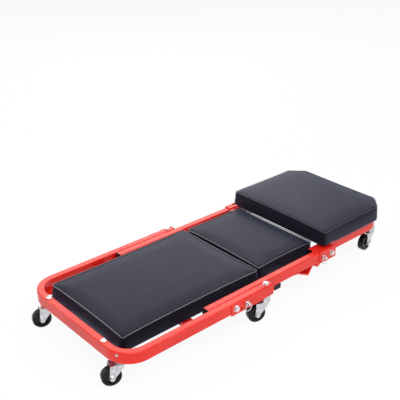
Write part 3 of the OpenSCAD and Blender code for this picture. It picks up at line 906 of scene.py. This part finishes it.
@dataclass
class Welds:
    """Rippled weld beads where bars, tabs and plates meet the tubes.

    Lengths are in metres. A span is a bead's start and end, from its bar, tab or tube end.
    """

    # one bead: its rings, the waist between two ripples and the drawn-in tips
    radius: float = 0.0018
    sides: int = 10
    pitch: float = 0.0014
    fewest_rings: int = 3
    waist: float = 0.8
    tip: float = 0.45
    bead_angle: float = 60.0
    length_places: int = 4
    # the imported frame: tube width, underside of the tubes, places counted from the foot end
    tube_width: float = 0.020
    ride: float = 0.076
    foot_length: float = 0.488
    hinge_tail: float = 0.138
    seat_fold_at: float = 0.751
    # how far a bead's middle stands off the steel
    lift: float = 0.0006
    tab_span: Span = (0.082, 0.098)
    gusset_across: Span = (0.116, 0.132)
    gusset_along: Span = (0.056, 0.072)
    gusset_top: float = 0.004
    flat_bar_span: Span = (0.225, 0.249)
    doubler_stitches: tuple[Span, ...] = ((0.056, 0.076), (0.098, 0.118))
    doubler_top: float = 0.1052
    middle_bar_span: Span = (0.032, 0.052)
    lip_span: Span = (0.001, 0.009)
    channel_start: float = 0.0502
    channel_height: Span = (0.080, 0.104)
    seat_bar_span: Span = (0.073, 0.097)
    seat_tab_spans: tuple[Span, ...] = ((0.004, 0.026), (0.110, 0.132))
    seat_tab_floor: float = 0.1044
    # one modelled bead for each length
    patterns: dict[float, bpy.types.Object] = field(default_factory=dict)
    count: int = 0

    def model(self, length: float) -> bpy.types.Object:
        """Models one bead of a length along X, centred on the origin.

        Args:
            length: bead length in metres.

        Returns:
            The bead.
        """
        clear_selection()
        bpy.ops.mesh.primitive_cylinder_add(vertices=self.sides, radius=self.radius,
                                            depth=length, rotation=(0, math.pi / 2, 0))
        obj = bpy.context.object
        settle(obj)
        rings = max(self.fewest_rings, round(length / self.pitch))
        bpy.ops.object.mode_set(mode="EDIT")
        pick(obj, Element.EDGE, lambda c, d: abs(d.x) > ALONG)
        bpy.ops.mesh.subdivide(number_cuts=rings)
        for ring in range(1, rings + 1, 2):
            x = ring * length / (rings + 1) - length / 2
            pick(obj, Element.VERT, lambda c, n, x=x: abs(c.x - x) < ON_RING)
            bpy.ops.transform.resize(value=(1, self.waist, self.waist),
                                     center_override=(x, 0, 0))
        pick(obj, Element.VERT, lambda c, n: abs(c.x) > length / 2 - ON_RING)
        bpy.ops.transform.resize(value=(1, self.tip, self.tip), center_override=(0, 0, 0))
        bpy.ops.object.mode_set(mode="OBJECT")
        modify(obj, "SUBSURF", levels=1, render_levels=1)
        smooth(obj, self.bead_angle)
        return obj

    def run(self, body: Body, start: Point, end: Point, paint: bpy.types.Material) -> None:
        """Lays one bead on the near side and its mirror image on the far side.

        Args:
            body: the body that carries the bead.
            start: one end, on the far side.
            end: the other end.
            paint: finish of the frame.
        """
        for side in (-1, 1):
            a, b = (Vector((p[0], side * p[1], p[2])) for p in (start, end))
            length = round((b - a).length, self.length_places)
            if length not in self.patterns:
                self.patterns[length] = self.model(length)
            bead = self.patterns[length].copy()
            bead.data = bead.data.copy()
            bpy.context.scene.collection.objects.link(bead)
            self.count += 1
            bead.name = bead.data.name = f"weld_{self.count:02d}"
            bead.matrix_world = Matrix.LocRotScale((a + b) / 2, (b - a).to_track_quat("X", "Z"),
                                                   None)
            settle(bead)
            dress(bead, paint)
            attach(bead, body.value)

    def along(self, body: Body, origin: float, span: Span, y: float, z: float,
              paint: bpy.types.Material) -> None:
        """Lays beads along X over a span that is counted from an origin on X."""
        self.run(body, (origin + span[0], y, z), (origin + span[1], y, z), paint)

    def build(self, paint: bpy.types.Material) -> None:
        """Lays every bead.

        Args:
            paint: finish of the frame.
        """
        low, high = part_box("foot_frame")
        foot, outer, z = low.x, high.y, self.ride + self.lift
        inner = outer - self.tube_width - self.lift / 2
        middle = inner - self.tube_width - self.lift
        seat = middle - self.tube_width - self.lift
        open_end = foot + self.foot_length
        channel_edge = foot + self.seat_fold_at - self.channel_start
        end_tube = foot + self.tube_width + self.lift
        hat_low, hat_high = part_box("middle_hat_bar")
        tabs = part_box("seat_bars")[0].x
        self.run(Body.BASE, (end_tube, self.tab_span[0], z), (end_tube, self.tab_span[1], z),
                 paint)
        self.run(Body.BASE, (end_tube, self.gusset_across[0], z + self.gusset_top),
                 (end_tube, self.gusset_across[1], z + self.gusset_top), paint)
        self.along(Body.BASE, foot, self.gusset_along, inner, z + self.gusset_top, paint)
        self.along(Body.BASE, foot, self.flat_bar_span, inner, z, paint)
        for span in self.doubler_stitches:
            self.along(Body.BASE, open_end - self.hinge_tail, span, outer + self.lift,
                       self.doubler_top, paint)
        self.along(Body.MIDDLE, open_end, self.middle_bar_span, middle, z, paint)
        self.along(Body.MIDDLE, hat_low.x, self.lip_span, middle, z, paint)
        self.along(Body.MIDDLE, hat_high.x, (-self.lip_span[1], -self.lip_span[0]), middle, z,
                   paint)
        self.run(Body.MIDDLE, (channel_edge, inner, self.channel_height[0]),
                 (channel_edge, inner, self.channel_height[1]), paint)
        self.along(Body.SEAT, tabs, self.seat_bar_span, seat, z, paint)
        for span in self.seat_tab_spans:
            self.along(Body.SEAT, tabs, span, seat, self.seat_tab_floor, paint)
        for pattern in self.patterns.values():
            bpy.data.objects.remove(pattern)
        LOG.info("welds: %d beads", self.count)


class Lamp(NamedTuple):
    """One square soft lamp: its name, its place, its edge length in metres and its watts."""

    name: str
    at: Point
    size: float
    power: float


@dataclass
class Studio:
    """Floor, light and the photograph's camera, in metres."""

    # the camera that was fitted to the photograph
    camera_at: Point = (-1.2569, -1.3137, 1.1581)
    target: Point = (0.2373, 0.3598, 0.0600)
    lens: float = 66.4
    sensor: float = 36.0
    # the lamps, and the point they are aimed at
    lamps: tuple[Lamp, ...] = (Lamp("key_lamp", (-0.9, -1.5, 2.4), 2.0, 60.0),
                               Lamp("back_lamp", (1.3, 2.0, 1.9), 2.4, 34.0),
                               Lamp("fill_lamp", (1.3, -1.8, 2.0), 0.7, 9.0),
                               Lamp("edge_lamp", (-1.8, 2.0, 1.3), 0.7, 9.0))
    aim: Point = (0.0, 0.0, 0.1)
    # strength of the surround, for its light and as it is seen
    sky: float = 0.34
    white: float = 1.0
    floor_size: float = 60.0
    floor_cells: int = 8
    floor_height: float = -0.0005

    def floor(self) -> None:
        """Lays the floor."""
        clear_selection()
        bpy.ops.mesh.primitive_grid_add(x_subdivisions=self.floor_cells,
                                        y_subdivisions=self.floor_cells,
                                        size=self.floor_size,
                                        location=(0, 0, self.floor_height))
        ground = bpy.context.object
        ground.name = ground.data.name = "studio_floor"
        settle(ground)
        dress(ground, StudioFloor().build())

    def hang_lamp(self, lamp: Lamp) -> None:
        """Adds one soft lamp aimed at the object.

        Args:
            lamp: the lamp.
        """
        clear_selection()
        bpy.ops.object.light_add(type="AREA", location=lamp.at)
        obj = bpy.context.object
        obj.name = lamp.name
        obj.data.size = lamp.size
        obj.data.energy = lamp.power
        way = Vector(self.aim) - Vector(lamp.at)
        obj.rotation_euler = way.to_track_quat("-Z", "Y").to_euler()

    def light(self) -> None:
        """Adds the lamps and the white surround."""
        for lamp in self.lamps:
            self.hang_lamp(lamp)
        world = bpy.data.worlds.new("studio")
        bpy.context.scene.world = world
        world.use_nodes = True
        tree = world.node_tree
        plain = tree.nodes["Background"]
        backdrop = tree.nodes.new("ShaderNodeBackground")
        for node, strength in ((plain, self.sky), (backdrop, self.white)):
            node.inputs["Color"].default_value = (1.0, 1.0, 1.0, 1.0)
            node.inputs["Strength"].default_value = strength
        mix = tree.nodes.new("ShaderNodeMixShader")
        tree.links.new(white_rays(tree), mix.inputs["Fac"])
        tree.links.new(plain.outputs[0], mix.inputs[1])
        tree.links.new(backdrop.outputs[0], mix.inputs[2])
        tree.links.new(mix.outputs[0], tree.nodes["World Output"].inputs["Surface"])

    def camera(self) -> None:
        """Sets the camera that was fitted to the photograph."""
        data = bpy.data.cameras.new("photo_camera")
        data.lens = self.lens
        data.sensor_width = self.sensor
        camera = bpy.data.objects.new("photo_camera", data)
        bpy.context.scene.collection.objects.link(camera)
        at = Vector(self.camera_at)
        turn = (Vector(self.target) - at).to_track_quat("-Z", "Y")
        camera.matrix_world = Matrix.LocRotScale(at, turn, None)
        bpy.context.scene.camera = camera

    def build(self) -> None:
        """Builds the whole studio."""
        self.floor()
        self.light()
        self.camera()
        bpy.context.scene.view_settings.view_transform = "Standard"
        LOG.info("studio: floor, lamps, camera")


@dataclass
class FrameDress:
    """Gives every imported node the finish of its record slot."""

    # the seat pad's welt keeps about the cover's own dark colour, without the painted highlight
    # of the default seam
    dull_seam: SeamVinyl = SeamVinyl("dull_seam_vinyl", base=(0.004, 0.004, 0.007),
                                     light=(0.009, 0.009, 0.014), coat=0.1)
    wheel: MouldedBlack = MouldedBlack("wheel_black", rough=(0.17, 0.34),
                                       grain_relief=Relief(0.06, 0.0002))
    finishes: dict[Finish, bpy.types.Material] = field(default_factory=dict)

    def build(self) -> None:
        """Builds the finishes."""
        self.finishes = {
            Finish.RED_PAINT: RedPowderCoat().build(),
            Finish.VINYL: BlackVinyl().build(),
            Finish.SEAM: SeamVinyl().build(),
            Finish.DULL_SEAM: self.dull_seam.build(),
            Finish.BOARD: Hardboard().build(),
            Finish.BLACK_PLASTIC: MouldedBlack().build(),
            Finish.WHEEL_BLACK: self.wheel.build(),
            Finish.ZINC: ZincPlate().build(),
            Finish.BOLT_CHROME: BoltPlate().build(),
            Finish.PIN_STEEL: TurnedSteel().build(),
        }

    def dress(self) -> None:
        """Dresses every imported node."""
        slots = {row["node"]: row["material_slot"] for row in frame["record"]["subparts"]}
        for name, obj in frame["nodes"].items():
            dress(obj, self.finishes[Finish(slots[name])])
        LOG.info("frame: %d packed nodes dressed", len(frame["nodes"]))


def main() -> None:
    """Builds and dresses everything in order."""
    logging.basicConfig(level=logging.INFO, format="%(name)s: %(message)s")
    Studio().build()
    looks = FrameDress()
    looks.build()
    looks.dress()
    Welds().build(looks.finishes[Finish.RED_PAINT])
    foot = Pad("foot_cushion", "foot_pad", Body.BASE, floor_in=-0.003)
    middle = Pad("middle_cushion", "middle_pad", Body.MIDDLE)
    seat = Pad("seat_cushion", "seat_pad", Body.SEAT, cut=0.044, top_round=0.005,
               sag=0.0033, welt_radius=0.0011)
    # the foot and middle welts take the seam with the painted highlight, the seat welt the dull
    # seam
    for pad, seam in ((foot, Finish.SEAM), (middle, Finish.SEAM), (seat, Finish.DULL_SEAM)):
        pad.build(looks.finishes[Finish.VINYL], looks.finishes[seam])


if __name__ == "__main__":
    main()
